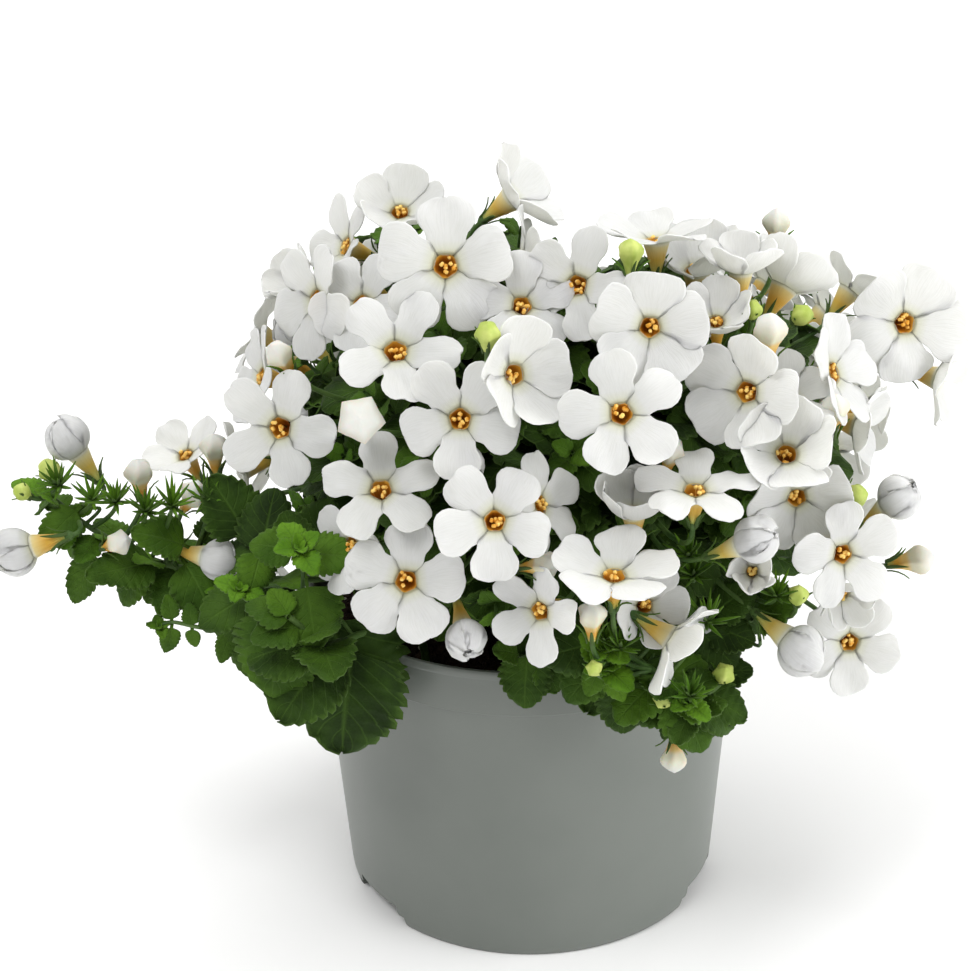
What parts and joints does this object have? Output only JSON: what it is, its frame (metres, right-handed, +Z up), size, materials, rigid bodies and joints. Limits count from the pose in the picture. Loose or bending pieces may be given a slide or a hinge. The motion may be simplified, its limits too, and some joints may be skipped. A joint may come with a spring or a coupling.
{
  "type": "potted flowering plant",
  "caption": "Bushy white-flowered bacopa with small toothed leaves, mounding over and trailing from a plain round grey nursery pot.",
  "frame": {"origin": "middle of the pot's foot, on the surface that the pot stands on", "axes": "+Z up, -Y towards the side the picture shows, +X to the right in the picture"},
  "size_m": [0.2576, 0.1932, 0.2132],
  "materials": {
    "pot": "matte",
    "soil": "matte",
    "foliage": "satin",
    "petals": "matte"
  },
  "bodies": {
    "root": {"back_spray_left": "foliage", "back_spray_middle": "foliage", "back_spray_right": "foliage", "bloom_01": "petals", "bloom_02": "petals", "bloom_03": "petals", "bloom_04": "petals", "bloom_05": "petals", "bloom_06": "petals", "bloom_07": "petals", "bloom_08": "petals", "bloom_09": "petals", "bloom_10": "petals", "bloom_11": "petals", "bloom_12": "petals", "bloom_13": "petals", "bloom_14": "petals", "bloom_15": "petals", "bloom_16": "petals", "bloom_17": "petals", "bloom_18": "petals", "bloom_19": "petals", "bloom_20": "petals", "bloom_21": "petals", "bloom_22": "petals", "bloom_23": "petals", "bloom_24": "petals", "bloom_25": "petals", "bloom_26": "petals", "bloom_27": "petals", "bloom_28": "petals", "bloom_29": "petals", "bloom_30": "petals", "bloom_31": "petals", "bloom_32": "petals", "bloom_33": "petals", "bloom_34": "petals", "bloom_35": "petals", "bloom_36": "petals", "bloom_37": "petals", "bloom_38": "petals", "bloom_39": "petals", "bloom_40": "petals", "bloom_41": "petals", "bloom_42": "petals", "bloom_43": "petals", "bloom_44": "petals", "bloom_45": "petals", "bloom_46": "petals", "bloom_47": "petals", "bloom_48": "petals", "bloom_49": "petals", "bloom_50": "petals", "foliage": "foliage", "front_shoot": "foliage", "left_shoot": "foliage", "pot": "pot", "soil": "soil", "trailing_shoot": "foliage"}
  },
  "joints": []
}
